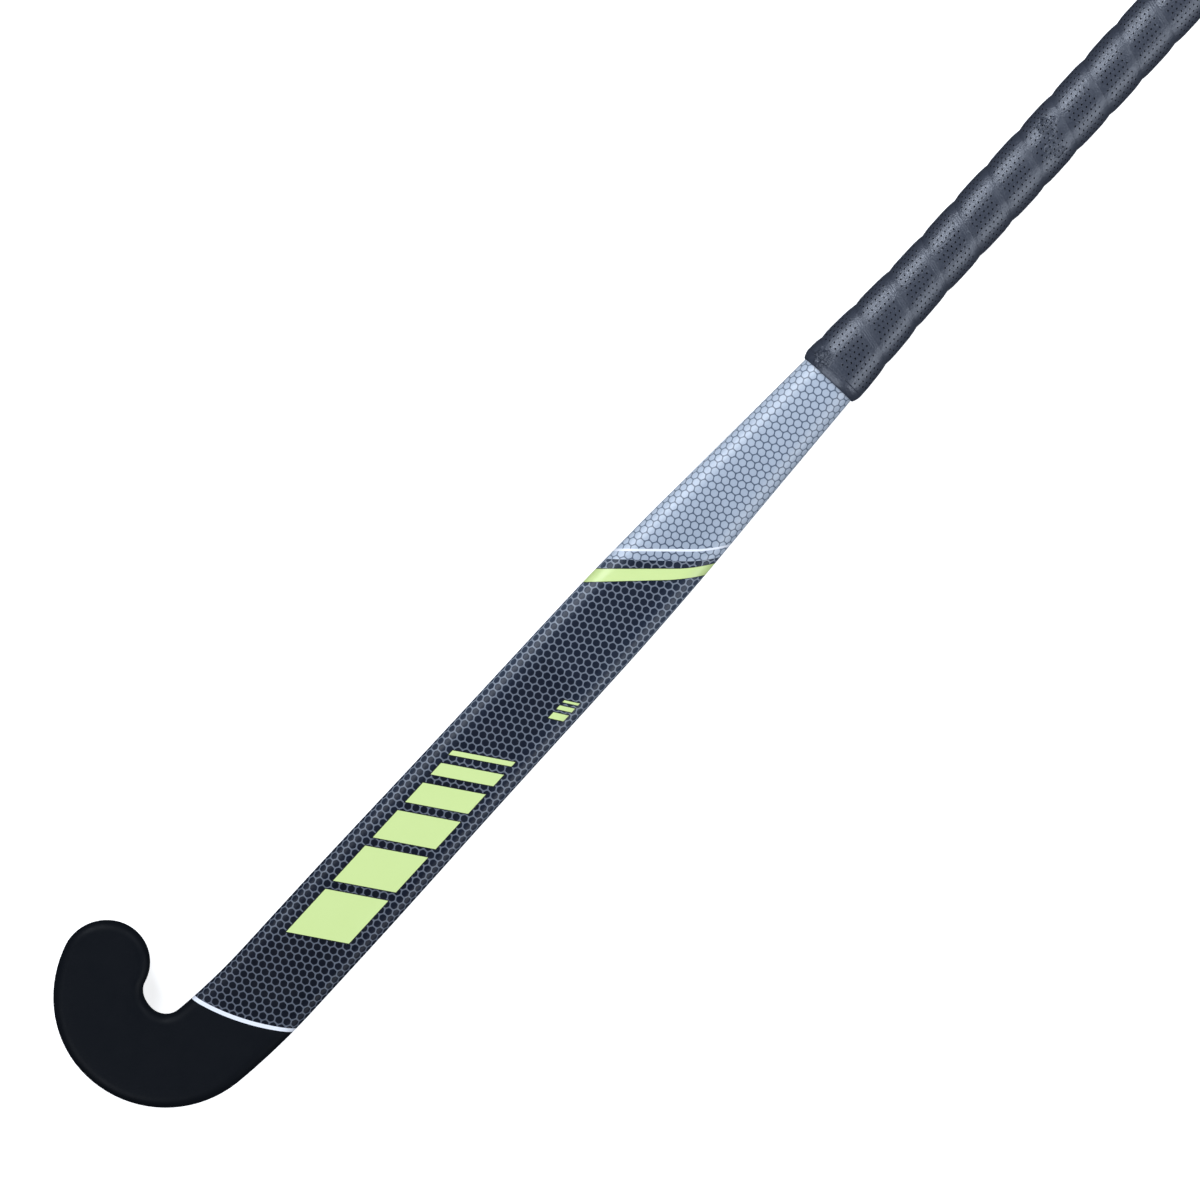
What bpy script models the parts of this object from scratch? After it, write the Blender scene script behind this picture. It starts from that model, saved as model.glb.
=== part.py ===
"""Field hockey stick: a senior composite stick that lies on its rounded back, playing face up.

All lengths are in metres. +X runs from the hooked head to the butt, +Y to the side of the toe,
and +Z out of the playing face. The origin is under the middle of the stick's outer box, on the
surface that it rests on.

The stick is laid out in its own coordinates first: `along` is measured up the middle line from
the head's far end, so that it is below zero in the toe, `across` is square to the shaft, and
`height` is measured from the playing face. One section profile is shrunk by an inset for each
layer below the skin and grown, with a negative inset, for each layer of the grip.
"""

import math

import bmesh
import bpy
from mathutils import Vector

# Overall size
STICK_LENGTH = 0.9256
BOW_START = 0.250
BOW_RADIUS = 6.58

# Middle line of the hook: where the straight shaft ends, then (radius, turn) of each bend
BEND_START = 0.104
BENDS = ((0.374, math.radians(7.6)), (0.0349, math.radians(156.4)))
TOE_REACH = 1.006
TOE_SKEW = 0.021

# Section profile: along, half width, edge rounding across, edge rounding in height, thickness
SECTION_STATIONS = (
    (-0.041, 0.0227, 0.0060, 0.0060, 0.0210),
    (0.000, 0.0243, 0.0060, 0.0060, 0.0210),
    (0.145, 0.0244, 0.0075, 0.0070, 0.0210),
    (0.250, 0.0235, 0.0085, 0.0073, 0.0210),
    (0.350, 0.02295, 0.0095, 0.0078, 0.0213),
    (0.400, 0.0217, 0.0105, 0.0085, 0.0218),
    (0.455, 0.0191, 0.0115, 0.0098, 0.0227),
    (0.522, 0.01595, 0.0125, 0.0116, 0.0241),
    (0.560, 0.0137, 0.0126, 0.0121, 0.0244),
    (0.600, 0.0122, 0.0122, 0.0122, 0.0244),
    (0.927, 0.0122, 0.0122, 0.0122, 0.0244),
)
SHAFT_BACK_POWER = 2.3
HANDLE_BACK_POWER = 2.0
FACE_STEPS = 6
BACK_STEPS = 8
TOE_STEPS = 10

# Layers, from the outside in
CLEARANCE = 0.0003
SHELL_WALL = 0.0019
REINFORCEMENT_INSET = SHELL_WALL + CLEARANCE
SLEEVE_WALL = 0.0008
STRIP_WALL = 0.0006
FOAM_INSET = REINFORCEMENT_INSET + SLEEVE_WALL + CLEARANCE
TUBE_INSET = REINFORCEMENT_INSET + STRIP_WALL + CLEARANCE
TUBE_WALL = 0.0008

# Places along the stick
HEAD_CORE_END = 0.150
STRIP_END = 0.700
TUBE_END = 0.880
SHELL_END = STICK_LENGTH - 0.0023
PLUG_INSET = REINFORCEMENT_INSET

# Grip, from the handle outwards
BAND_START = 0.524
BAND_END = 0.5285
BAND_WALL = 0.0017
UNDERLAY_WALL = 0.0007
TAPE_LIFT = 2 * CLEARANCE + UNDERLAY_WALL + 0.0001
TAPE_PITCH = 0.0245
TAPE_WIDTH = 0.0275
TAPE_EDGE = 0.0005
TAPE_MIDDLE = 0.0014
TAPE_STEPS_PER_TURN = 20
TAPE_CUT_WIDTH = 0.0008
TAPE_PHASE = 0.0173
CAP_SKIRT_LENGTH = 0.012
CAP_RADIUS = 0.0150
CAP_SEGMENTS = 24


def smooth_value(stations, column, along):
    """Smooth curve through one column of the stations, flat beyond both ends, never overshooting."""
    places = [row[0] for row in stations]
    values = [row[column] for row in stations]
    if along <= places[0]:
        return values[0]
    if along >= places[-1]:
        return values[-1]
    last = len(places) - 1
    steps = [(values[i + 1] - values[i]) / (places[i + 1] - places[i]) for i in range(last)]

    def slope(i):
        if i in (0, last) or steps[i - 1] * steps[i] <= 0:
            return 0.0
        return 2 * steps[i - 1] * steps[i] / (steps[i - 1] + steps[i])

    i = max(k for k in range(last) if places[k] <= along)
    gap = places[i + 1] - places[i]
    t = (along - places[i]) / gap
    return (
        values[i] * (1 + 2 * t) * (1 - t) ** 2
        + values[i + 1] * t * t * (3 - 2 * t)
        + gap * slope(i) * t * (1 - t) ** 2
        - gap * slope(i + 1) * t * t * (1 - t)
    )


def right_of(heading):
    """Unit vector in plan to the right of a heading: the hook's inner side on the way to the toe."""
    return Vector((math.sin(heading), -math.cos(heading)))


def middle_line(along):
    """Point in plan on the stick's middle line, and the heading there towards the toe."""
    if along >= BEND_START:
        return Vector((along, 0.0)), math.pi
    point = Vector((BEND_START, 0.0))
    heading = math.pi
    left = BEND_START - along
    for radius, turn in BENDS:
        swept = min(left / radius, turn)
        centre = point + radius * right_of(heading)
        heading -= swept
        point = centre - radius * right_of(heading)
        left -= swept * radius
    return point, heading


def toe_centre():
    """Distance along the middle line to the centre of the rounded toe."""
    return BEND_START - sum(radius * turn for radius, turn in BENDS)


def half_point(along, angle, inset):
    """Section point at an angle of 0 at the face's middle to pi at the back's: reach, height."""
    width = smooth_value(SECTION_STATIONS, 1, along)
    edge = smooth_value(SECTION_STATIONS, 2, along)
    edge_height = smooth_value(SECTION_STATIONS, 3, along)
    thickness = smooth_value(SECTION_STATIONS, 4, along)
    flat = width - edge
    if angle <= math.pi / 2:
        flat_share = flat / (flat + edge * math.pi / 2) * math.pi / 2
        if angle <= flat_share:
            reach = flat * angle / flat_share if flat_share > 0 else 0.0
            return reach, -inset
        turned = (angle - flat_share) / (math.pi / 2 - flat_share) * math.pi / 2
        return (
            flat + (edge - inset) * math.sin(turned),
            (edge_height - inset) * math.cos(turned) - edge_height,
        )
    turned = angle - math.pi / 2
    blend = min(max((along - BOW_START) / (0.600 - BOW_START), 0.0), 1.0)
    power = 2 / (SHAFT_BACK_POWER + (HANDLE_BACK_POWER - SHAFT_BACK_POWER) * blend)
    depth = thickness - edge_height - inset
    return (
        (width - inset) * max(math.cos(turned), 0.0) ** power,
        -edge_height - depth * max(math.sin(turned), 0.0) ** power,
    )


def section_angles():
    face = [math.pi / 2 * i / FACE_STEPS for i in range(FACE_STEPS)]
    back = [math.pi / 2 * (1 + i / BACK_STEPS) for i in range(BACK_STEPS + 1)]
    return face + back


def half_section(along, inset):
    """Half of the section, from the middle of the face round one edge to the middle of the back."""
    return [half_point(along, angle, inset) for angle in section_angles()]


def bowed(x, y, height):
    """Model point for a place in plan and a height above the face, with the shaft's bow put in."""
    if x <= BOW_START:
        return Vector((x, y, height))
    angle = (x - BOW_START) / BOW_RADIUS
    radius = BOW_RADIUS - height
    return Vector((BOW_START + radius * math.sin(angle), y, BOW_RADIUS - radius * math.cos(angle)))


def stations_between(start, end, spacings):
    """Places from start to end, with the spacing that holds in each stretch."""
    places = [start]
    for limit, spacing in spacings:
        stop = min(limit, end)
        if stop <= places[-1]:
            continue
        count = max(1, round((stop - places[-1]) / spacing))
        first = places[-1]
        places += [first + (stop - first) * (i + 1) / count for i in range(count)]
    return places


def head_places():
    """Stations from the shaft side of the head's core round the hook to the toe's centre."""
    tight_bend_start = BEND_START - BENDS[0][0] * BENDS[0][1]
    spacings = ((tight_bend_start, 0.0075), (BEND_START, 0.025), (HEAD_CORE_END, 0.025))
    return stations_between(toe_centre(), HEAD_CORE_END, spacings)[::-1]


def shaft_places(start, end):
    """Stations up the shaft, closer together where the section turns from a blade to a round."""
    return stations_between(start, end, ((0.350, 0.040), (0.600, 0.0125), (STICK_LENGTH, 0.055)))


def hook_skin(bm, places, inset):
    """Skin of the hooked stick: down one side, round the toe, back up the other.

    The places run from the open end to the toe. Returns the loop of vertices at the open end.
    """
    face_line = []
    back_line = []
    outer_rows = []
    inner_rows = []
    for along in places:
        centre, heading = middle_line(along)
        points = half_section(along, inset)
        face_line.append(bm.verts.new(bowed(centre.x, centre.y, points[0][1])))
        back_line.append(bm.verts.new(bowed(centre.x, centre.y, points[-1][1])))
        for rows, side in ((outer_rows, -1), (inner_rows, 1)):
            row = []
            for reach, height in points[1:-1]:
                spot = centre + side * reach * right_of(heading)
                row.append(bm.verts.new(bowed(spot.x, spot.y, height)))
            rows.append(row)
    toe_rows = []
    centre, heading = middle_line(places[-1])
    ahead = Vector((math.cos(heading), math.sin(heading)))
    for step in range(1, TOE_STEPS):
        turn = math.pi * step / TOE_STEPS
        stretch = 1 + (TOE_REACH - 1) * math.sin(turn) - TOE_SKEW * math.sin(2 * turn)
        direction = -right_of(heading) * math.cos(turn) + ahead * math.sin(turn)
        row = []
        for reach, height in half_section(places[-1], inset)[1:-1]:
            spot = centre + stretch * reach * direction
            row.append(bm.verts.new(bowed(spot.x, spot.y, height)))
        toe_rows.append(row)
    last = len(places) - 1
    rows = outer_rows + toe_rows + inner_rows[::-1]
    ends = list(range(last + 1)) + [last] * (TOE_STEPS - 1) + list(range(last, -1, -1))
    for i in range(len(rows) - 1):
        here = [face_line[ends[i]]] + rows[i] + [back_line[ends[i]]]
        there = [face_line[ends[i + 1]]] + rows[i + 1] + [back_line[ends[i + 1]]]
        for k in range(len(here) - 1):
            corners = [here[k], here[k + 1], there[k + 1], there[k]]
            bm.faces.new(list(dict.fromkeys(corners)))
    return [face_line[0]] + outer_rows[0] + [back_line[0]] + inner_rows[0][::-1]


def join_loops(bm, first, second):
    """Band of faces between two loops of the same length."""
    for i in range(len(first)):
        k = (i + 1) % len(first)
        bm.faces.new((first[i], first[k], second[k], second[i]))


def add_loop(bm, points):
    return [bm.verts.new(point) for point in points]


def full_ring(along, inset, steps=None):
    """Closed ring of the section on the straight shaft or handle."""
    angles = section_angles() if steps is None else [math.pi * i / steps for i in range(steps + 1)]
    half = [half_point(along, angle, inset) for angle in angles]
    left = [bowed(along, reach, height) for reach, height in half]
    right = [bowed(along, -reach, height) for reach, height in half[1:-1]]
    return left + right[::-1]


def new_object(name, bm, material, frame):
    """Turn a finished bmesh into a named object that stands in the stick's frame."""
    bmesh.ops.recalc_face_normals(bm, faces=bm.faces)
    mesh = bpy.data.meshes.new(name)
    bm.to_mesh(mesh)
    bm.free()
    mesh.shade_smooth()
    mesh.set_sharp_from_angle(angle=math.radians(40))
    mesh.materials.append(material)
    made = bpy.data.objects.new(name, mesh)
    bpy.context.scene.collection.objects.link(made)
    made.parent = frame
    return made


def plain_material(name, colour, roughness, metallic=0.0):
    material = bpy.data.materials.new(name)
    material.use_nodes = True
    shader = material.node_tree.nodes["Principled BSDF"]
    shader.inputs["Base Color"].default_value = (*colour, 1.0)
    shader.inputs["Roughness"].default_value = roughness
    shader.inputs["Metallic"].default_value = metallic
    return material


def lofted(name, rings, material, frame, hollow=None):
    """Solid through closed rings, or a tube when a second list of rings gives its bore."""
    bm = bmesh.new()
    outer = [add_loop(bm, ring) for ring in rings]
    for i in range(len(outer) - 1):
        join_loops(bm, outer[i], outer[i + 1])
    if hollow is None:
        bm.faces.new(outer[0])
        bm.faces.new(outer[-1])
        return new_object(name, bm, material, frame)
    inner = [add_loop(bm, ring) for ring in hollow]
    for i in range(len(inner) - 1):
        join_loops(bm, inner[i], inner[i + 1])
    join_loops(bm, outer[0], inner[0])
    join_loops(bm, outer[-1], inner[-1])
    return new_object(name, bm, material, frame)


def make_stick_shell(frame):
    """Outer laminate of shaft and head in one moulding, open at the handle's end."""
    bm = bmesh.new()
    places = shaft_places(HEAD_CORE_END, SHELL_END)[::-1] + head_places()[1:]
    outside = hook_skin(bm, places, 0.0)
    inside = hook_skin(bm, places, SHELL_WALL)
    join_loops(bm, outside, inside)
    return new_object("stick_shell", bm, plain_material("laminate", (0.02, 0.025, 0.035), 0.35), frame)


def make_head_sleeve(frame):
    """Aramid reinforcement inside the head's laminate, open towards the shaft."""
    bm = bmesh.new()
    outside = hook_skin(bm, head_places(), REINFORCEMENT_INSET)
    inside = hook_skin(bm, head_places(), REINFORCEMENT_INSET + SLEEVE_WALL)
    join_loops(bm, outside, inside)
    return new_object("head_aramid_sleeve", bm, plain_material("aramid", (0.75, 0.6, 0.15), 0.7), frame)


def make_head_core(frame):
    """Rigid foam that fills the hooked head."""
    bm = bmesh.new()
    bm.faces.new(hook_skin(bm, head_places(), FOAM_INSET))
    return new_object("head_foam_core", bm, plain_material("rigid_foam", (0.85, 0.8, 0.65), 0.9), frame)


def tube_ring(along, side, inset, web):
    """Ring of one inner tube: half of the section, kept a web's distance off the middle."""
    half = half_section(along, inset)
    return [bowed(along, side * max(reach, web), height) for reach, height in half]


def make_inner_tube(name, side, frame):
    """One of the two carbon tubes that lie side by side in the shaft."""
    places = shaft_places(HEAD_CORE_END + CLEARANCE, TUBE_END)
    web = CLEARANCE / 2
    outer = [tube_ring(along, side, TUBE_INSET, web) for along in places]
    inner = [tube_ring(along, side, TUBE_INSET + TUBE_WALL, web + TUBE_WALL) for along in places]
    return lofted(name, outer, plain_material(name, (0.05, 0.05, 0.055), 0.5), frame, inner)


def make_stiffener(name, first, last, frame):
    """Carbon strip under the skin, spanning the section's points first to last on both sides."""
    rings = []
    for along in shaft_places(HEAD_CORE_END + CLEARANCE, STRIP_END):
        upper = half_section(along, REINFORCEMENT_INSET)[first : last + 1]
        lower = half_section(along, REINFORCEMENT_INSET + STRIP_WALL)[first : last + 1]
        if first == 0:
            upper = upper[::-1]
            lower = lower[::-1]
        outer = [(-reach, height) for reach, height in upper[:-1]] + [upper[-1]] + upper[-2::-1]
        inner = [(-reach, height) for reach, height in lower[:-1]] + [lower[-1]] + lower[-2::-1]
        rings.append([bowed(along, reach, height) for reach, height in outer + inner[::-1]])
    return lofted(name, rings, plain_material(name, (0.04, 0.04, 0.045), 0.45), frame)


def make_handle_plug(frame):
    """Foam plug in the open end of the handle."""
    places = (TUBE_END + CLEARANCE, (TUBE_END + SHELL_END) / 2, SHELL_END - CLEARANCE)
    rings = [full_ring(along, PLUG_INSET) for along in places]
    return lofted("handle_plug", rings, plain_material("plug_foam", (0.6, 0.55, 0.45), 0.9), frame)


def make_finishing_band(frame):
    """Smooth band over the lower end of the grip, rolled in at its lower lip."""
    steps = ((0.0, 0.5), (0.0006, 0.85), (0.0016, 1.05), (0.003, 1.1), (BAND_END - BAND_START, 0.95))
    places = [BAND_START + step for step, _ in steps]
    walls = [BAND_WALL * share for _, share in steps]
    outer = [full_ring(along, -CLEARANCE - wall, 12) for along, wall in zip(places, walls)]
    inner = [full_ring(along, -CLEARANCE, 12) for along in places]
    return lofted("finishing_band", outer, plain_material("band", (0.05, 0.055, 0.07), 0.5), frame, inner)


def make_grip_underlay(frame):
    """Thin cushion wrap under the tape."""
    places = shaft_places(BAND_END + CLEARANCE, STICK_LENGTH - CAP_SKIRT_LENGTH - 0.003)
    outer = [full_ring(along, -CLEARANCE - UNDERLAY_WALL, 12) for along in places]
    inner = [full_ring(along, -CLEARANCE, 12) for along in places]
    return lofted("grip_underlay", outer, plain_material("underlay", (0.6, 0.6, 0.58), 0.9), frame, inner)


def tape_bed(across):
    """Lift of the tape's underside: flat on the underlay, then up over the next turn's lower edge."""
    lap = TAPE_PITCH - 0.0008
    over = TAPE_EDGE + 0.0004
    if across <= lap:
        return 0.0
    rise = min((across - lap) / 0.0006, 1.0)
    return over * rise + 0.00015 * max(across - lap - 0.0006, 0.0) / (TAPE_WIDTH - lap - 0.0006)


def tape_top(across):
    """Lift of the tape's outer side: thin lower edge, cushioned middle, rounded upper edge."""
    full = TAPE_PITCH * 0.3
    brim = TAPE_PITCH * 0.88
    if across <= full:
        return TAPE_EDGE + (TAPE_MIDDLE - TAPE_EDGE) * across / full
    if across <= brim:
        return TAPE_MIDDLE + 0.0003 * (across - full) / (brim - full)
    tip = tape_bed(TAPE_WIDTH) + 0.0002
    return TAPE_MIDDLE + 0.0003 + (tip - TAPE_MIDDLE - 0.0003) * (across - brim) / (TAPE_WIDTH - brim)


def tape_section(lowest, highest):
    """Section of the tape between two places across its width: (across, lift) points."""
    lap = TAPE_PITCH - 0.0008
    under = (0.0, lap, lap + 0.0006, TAPE_WIDTH)
    over = (0.0, TAPE_PITCH * 0.3, TAPE_PITCH * 0.88, TAPE_WIDTH)
    points = []
    for places, lift in ((under, tape_bed), (over, tape_top)):
        row = []
        for i, across in enumerate(places):
            spot = max(across, lowest + 0.0001 * i)
            spot = min(spot, highest - 0.0001 * (3 - i))
            row.append((spot, lift(spot)))
        points.append(row)
    return points[0] + points[1][::-1]


def make_grip_tape(frame):
    """One strip of cushion tape wound up the handle, each turn over the next one's lower edge."""
    start = BAND_END + CLEARANCE
    end = SHELL_END - CLEARANCE
    first_turn = -(TAPE_WIDTH - TAPE_CUT_WIDTH) / TAPE_PITCH
    turns = (end - TAPE_CUT_WIDTH - start) / TAPE_PITCH - first_turn
    steps = int(turns * TAPE_STEPS_PER_TURN)
    rings = []
    for step in range(steps + 1):
        turn = first_turn + step / TAPE_STEPS_PER_TURN
        base = start + turn * TAPE_PITCH
        lowest = max(0.0, start - base)
        highest = min(TAPE_WIDTH, end - base)
        share = (turn + TAPE_PHASE) % 1.0
        side = 1 if share <= 0.5 else -1
        angle = 2 * math.pi * min(share, 1.0 - share)
        ring = []
        for across, lift in tape_section(lowest, highest):
            along = base + across
            reach, height = half_point(along, angle, -TAPE_LIFT - lift)
            ring.append(bowed(along, side * reach, height))
        rings.append(ring)
    return lofted("grip_tape", rings, plain_material("grip", (0.07, 0.08, 0.1), 0.6), frame)


def make_butt_cap(frame):
    """Rubber cap over the end of the handle: a domed disc on a thin skirt."""
    handle = smooth_value(SECTION_STATIONS, 1, STICK_LENGTH)
    bore = handle + CLEARANCE
    disc = SHELL_END + CLEARANCE
    profile = (
        (0.0, disc),
        (bore, disc),
        (bore, STICK_LENGTH - CAP_SKIRT_LENGTH - 0.0023),
        (bore + UNDERLAY_WALL, STICK_LENGTH - CAP_SKIRT_LENGTH - 0.0023),
        (bore + UNDERLAY_WALL, disc),
        (CAP_RADIUS, disc),
        (CAP_RADIUS, STICK_LENGTH - 0.0012),
        (CAP_RADIUS - 0.0012, STICK_LENGTH),
        (0.0, STICK_LENGTH),
    )
    bm = bmesh.new()
    loops = []
    for radius, along in profile[1:-1]:
        angles = [2 * math.pi * i / CAP_SEGMENTS for i in range(CAP_SEGMENTS)]
        points = [
            bowed(along, radius * math.sin(angle), radius * math.cos(angle) - handle) for angle in angles
        ]
        loops.append(add_loop(bm, points))
    for first, second in zip(loops, loops[1:]):
        join_loops(bm, first, second)
    bm.faces.new(loops[0])
    bm.faces.new(loops[-1])
    return new_object("butt_cap", bm, plain_material("cap_rubber", (0.03, 0.03, 0.035), 0.6), frame)


def rest_on_origin(frame, parts):
    """Move the frame so that the parts' box stands centred on the origin."""
    corners = [vertex.co for part in parts for vertex in part.data.vertices]
    low = Vector([min(corner[i] for corner in corners) for i in range(3)])
    high = Vector([max(corner[i] for corner in corners) for i in range(3)])
    middle = (low + high) / 2
    frame.location = (-middle.x, -middle.y, -low.z)


def build():
    for old in list(bpy.data.objects):
        bpy.data.objects.remove(old, do_unlink=True)
    frame = bpy.data.objects.new("stick_frame", None)
    bpy.context.scene.collection.objects.link(frame)
    back_end = FACE_STEPS + BACK_STEPS
    parts = [
        make_stick_shell(frame),
        make_head_sleeve(frame),
        make_head_core(frame),
        make_inner_tube("left_inner_tube", 1, frame),
        make_inner_tube("right_inner_tube", -1, frame),
        make_stiffener("face_stiffener", 0, FACE_STEPS // 2, frame),
        make_stiffener("back_stiffener", back_end - 3, back_end, frame),
        make_handle_plug(frame),
        make_finishing_band(frame),
        make_grip_underlay(frame),
        make_grip_tape(frame),
        make_butt_cap(frame),
    ]
    rest_on_origin(frame, parts)


build()
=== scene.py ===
"""Looks of the field hockey stick: printed shaft, matt head, perforated tape grip and studio."""

import math

import bmesh
import bpy
import numpy as np
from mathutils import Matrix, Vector


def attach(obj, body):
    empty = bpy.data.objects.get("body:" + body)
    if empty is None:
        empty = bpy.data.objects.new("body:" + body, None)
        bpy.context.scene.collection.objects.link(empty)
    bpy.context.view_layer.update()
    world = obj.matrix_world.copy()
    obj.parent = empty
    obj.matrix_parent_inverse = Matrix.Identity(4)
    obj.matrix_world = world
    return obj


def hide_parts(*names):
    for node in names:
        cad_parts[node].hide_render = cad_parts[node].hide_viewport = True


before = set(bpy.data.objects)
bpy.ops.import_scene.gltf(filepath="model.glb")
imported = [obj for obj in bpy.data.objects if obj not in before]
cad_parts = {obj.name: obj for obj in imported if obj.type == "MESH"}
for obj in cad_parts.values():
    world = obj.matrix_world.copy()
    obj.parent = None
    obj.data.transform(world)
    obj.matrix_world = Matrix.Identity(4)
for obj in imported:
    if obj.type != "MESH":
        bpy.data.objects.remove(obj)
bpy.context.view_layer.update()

# Where the stick's own origin stands in the row frame
OFFSET = np.array((-0.46355, -0.03474, 0.02102))

STICK_LENGTH = 0.9256
BOW_START = 0.250
BOW_RADIUS = 6.58
BEND_START = 0.104
BENDS = ((0.374, math.radians(7.6)), (0.0349, math.radians(156.4)))
TOE_REACH = 1.006
TOE_SKEW = 0.021
# The section at places along: half width, edge rounding across and in height, thickness
SECTION_STATIONS = (
    (-0.041, 0.0227, 0.0060, 0.0060, 0.0210),
    (0.000, 0.0243, 0.0060, 0.0060, 0.0210),
    (0.145, 0.0244, 0.0075, 0.0070, 0.0210),
    (0.250, 0.0235, 0.0085, 0.0073, 0.0210),
    (0.350, 0.02295, 0.0095, 0.0078, 0.0213),
    (0.400, 0.0217, 0.0105, 0.0085, 0.0218),
    (0.455, 0.0191, 0.0115, 0.0098, 0.0227),
    (0.522, 0.01595, 0.0125, 0.0116, 0.0241),
    (0.560, 0.0137, 0.0126, 0.0121, 0.0244),
    (0.600, 0.0122, 0.0122, 0.0122, 0.0244),
    (0.927, 0.0122, 0.0122, 0.0122, 0.0244),
)
HANDLE_RADIUS = SECTION_STATIONS[-1][1]
ROUND_FROM = 0.600
SHAFT_BACK_POWER = 2.3
HANDLE_BACK_POWER = 2.0
CLEARANCE = 0.0003
SHELL_WALL = 0.0019
CAP_END_WALL = 0.0023
SHELL_END = STICK_LENGTH - CAP_END_WALL
BAND_START = 0.524
BAND_END = 0.5285
BAND_WALL = 0.0017
UNDERLAY_WALL = 0.0007
TAPE_GAP = 0.0001
TAPE_LIFT = 2 * CLEARANCE + UNDERLAY_WALL + TAPE_GAP
TAPE_PITCH = 0.0245
TAPE_WIDTH = 0.0275
TAPE_CUT_WIDTH = 0.0008
TAPE_PHASE = 0.0173
CAP_SKIRT_LENGTH = 0.012
CAP_RADIUS = 0.0150

# The honeycomb printed on the shaft, and the stretch of the shaft that carries print
CELL_PITCH = 0.00426
DARK_LINE_WIDTH = 0.00068
LIGHT_LINE_WIDTH = 0.00064
CELL_ROUNDING = 9.5
PRINT_LOW = 0.060
PRINT_HIGH = 0.530

# Steps of the mesh across half a section, and round the toe
FLAT_STEPS = 4
EDGE_STEPS = 8
BACK_STEPS = 12
TOE_STEPS = 32


# -------------------- shape of the stick


def smooth_value(column, along):
    """Smooth curve through a column of the stations, flat past both ends, never overshooting."""
    places = [row[0] for row in SECTION_STATIONS]
    values = [row[column] for row in SECTION_STATIONS]
    if along <= places[0]:
        return values[0]
    if along >= places[-1]:
        return values[-1]
    last = len(places) - 1
    steps = [(values[i + 1] - values[i]) / (places[i + 1] - places[i]) for i in range(last)]

    def slope(i):
        if i in (0, last) or steps[i - 1] * steps[i] <= 0:
            return 0.0
        return 2 * steps[i - 1] * steps[i] / (steps[i - 1] + steps[i])

    i = max(k for k in range(last) if places[k] <= along)
    gap = places[i + 1] - places[i]
    t = (along - places[i]) / gap
    return (
        values[i] * (1 + 2 * t) * (1 - t) ** 2
        + values[i + 1] * t * t * (3 - 2 * t)
        + gap * slope(i) * t * (1 - t) ** 2
        - gap * slope(i + 1) * t * t * (1 - t)
    )


# The smooth curves are worked out once, every half millimetre from past the toe to the butt
TABLE_ALONG = np.linspace(-0.06, 0.93, 1981)
TABLE_SECTION = np.array([[smooth_value(column, along) for along in TABLE_ALONG] for column in range(1, 5)])


def section_values(along):
    """Half width, edge rounding across, edge rounding in height and thickness at each place."""
    return [np.interp(along, TABLE_ALONG, row) for row in TABLE_SECTION]


def middle_point(along):
    """Plan x, plan y and heading of the middle line at one place, worked out bend by bend."""
    point = Vector((BEND_START, 0.0))
    heading = math.pi
    left = BEND_START - along
    if left <= 0:
        return along, 0.0, heading
    for radius, turn in BENDS:
        swept = min(left / radius, turn)
        right = Vector((math.sin(heading), -math.cos(heading)))
        centre = point + radius * right
        heading -= swept
        right = Vector((math.sin(heading), -math.cos(heading)))
        point = centre - radius * right
        left -= swept * radius
    return point.x, point.y, heading


TOE_CENTRE = BEND_START - sum(radius * turn for radius, turn in BENDS)
TABLE_MIDDLE = np.array([middle_point(along) for along in TABLE_ALONG]).T


def middle_line(along):
    """Plan x, plan y and heading of the middle line at each place."""
    return [np.interp(along, TABLE_ALONG, row) for row in TABLE_MIDDLE]


def place(x, y, height):
    """Points of the row frame for places in plan and heights above the face, bow put in."""
    angle = np.maximum(x - BOW_START, 0.0) / BOW_RADIUS
    radius = BOW_RADIUS - height
    bent = x > BOW_START
    px = np.where(bent, BOW_START + radius * np.sin(angle), x)
    pz = np.where(bent, BOW_RADIUS - radius * np.cos(angle), height)
    return np.stack([px, y, pz], -1) + OFFSET


def section_point(along, angle, inset):
    """Reach and height of the section at angles of 0 (face's middle) to pi (back's middle)."""
    width, edge, edge_height, thickness = section_values(along)
    flat = width - edge
    share = flat / (flat + edge * math.pi / 2) * math.pi / 2
    on_flat = angle <= share
    turned = np.clip((angle - share) / (math.pi / 2 - share), 0, 1) * math.pi / 2
    face_reach = np.where(
        on_flat, flat * angle / np.maximum(share, 1e-9), flat + (edge - inset) * np.sin(turned)
    )
    face_height = np.where(on_flat, -inset, (edge_height - inset) * np.cos(turned) - edge_height)
    turned = np.clip(angle - math.pi / 2, 0, math.pi / 2)
    blend = np.clip((along - BOW_START) / (ROUND_FROM - BOW_START), 0, 1)
    power = 2 / (SHAFT_BACK_POWER + (HANDLE_BACK_POWER - SHAFT_BACK_POWER) * blend)
    depth = thickness - edge_height - inset
    back_reach = (width - inset) * np.maximum(np.cos(turned), 0) ** power
    back_height = -edge_height - depth * np.maximum(np.sin(turned), 0) ** power
    front = angle <= math.pi / 2
    return np.where(front, face_reach, back_reach), np.where(front, face_height, back_height)


# The printed stretch's girth is worked out once, every two millimetres
GIRTH_PLACES = np.linspace(0.05, 0.62, 286)
GIRTH_FRACTIONS = np.linspace(0, 1, 361)
GIRTH_STEP = GIRTH_PLACES[1] - GIRTH_PLACES[0]


def girth_table():
    """For each place, half the girth, and the section angle at every fraction of that half."""
    angles = np.linspace(0, math.pi, 721)
    grid_along, grid_angle = np.meshgrid(GIRTH_PLACES, angles, indexing="ij")
    reach, height = section_point(grid_along, grid_angle, 0.0)
    step = np.hypot(np.diff(reach, axis=1), np.diff(height, axis=1))
    length = np.concatenate([np.zeros((len(GIRTH_PLACES), 1)), np.cumsum(step, axis=1)], axis=1)
    inverse = np.array([np.interp(GIRTH_FRACTIONS * row[-1], row, angles) for row in length])
    return length[:, -1], inverse


GIRTH_HALF, GIRTH_ANGLE = girth_table()


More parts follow.
